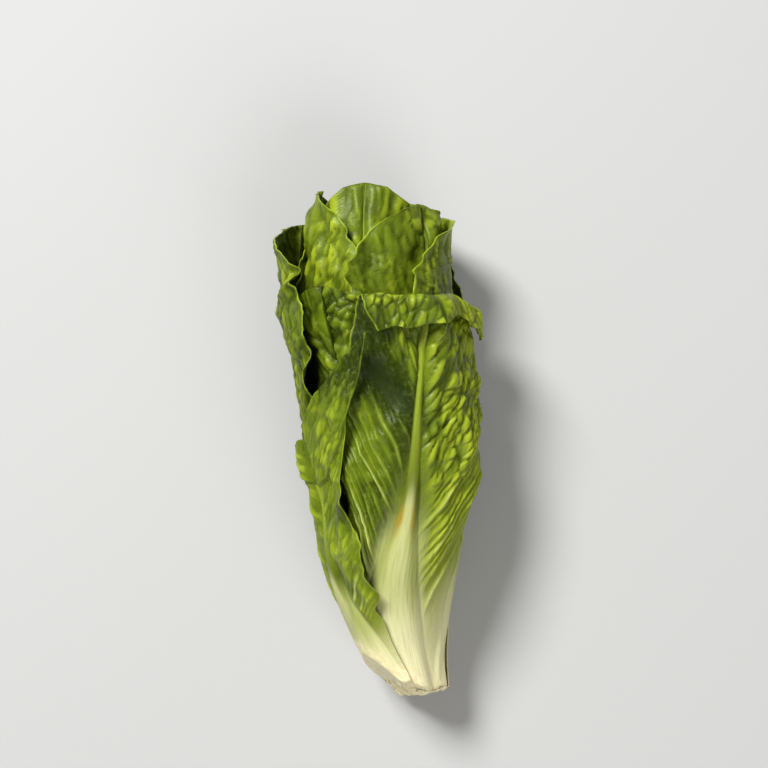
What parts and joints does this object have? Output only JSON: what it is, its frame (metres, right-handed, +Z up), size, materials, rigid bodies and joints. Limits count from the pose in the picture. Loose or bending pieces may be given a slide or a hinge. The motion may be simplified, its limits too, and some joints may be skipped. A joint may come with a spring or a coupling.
{
  "type": "romaine lettuce head",
  "caption": "Elongated head of upright lettuce leaves on pale ribs, wrapped round a trimmed stem stump and lying on its side.",
  "frame": {"origin": "centre of the footprint, on the surface that the head lies on", "axes": "+Y along the head from the cut stem to the leaf tips, +Z up, +X to the right seen from above with the tips away from the viewer"},
  "size_m": [0.096, 0.2514, 0.0918],
  "materials": {
    "outer_leaf": "satin",
    "inner_leaf": "satin",
    "stem": "matte"
  },
  "bodies": {
    "root": {"leaf_01": "outer_leaf", "leaf_02": "outer_leaf", "leaf_03": "outer_leaf", "leaf_04": "outer_leaf", "leaf_05": "outer_leaf", "leaf_06": "outer_leaf", "leaf_07": "outer_leaf", "leaf_08": "outer_leaf", "leaf_09": "inner_leaf", "leaf_10": "inner_leaf", "leaf_11": "inner_leaf", "leaf_12": "inner_leaf", "leaf_13": "inner_leaf", "leaf_14": "inner_leaf", "leaf_15": "inner_leaf", "leaf_16": "inner_leaf", "stem_butt": "stem"}
  },
  "joints": []
}
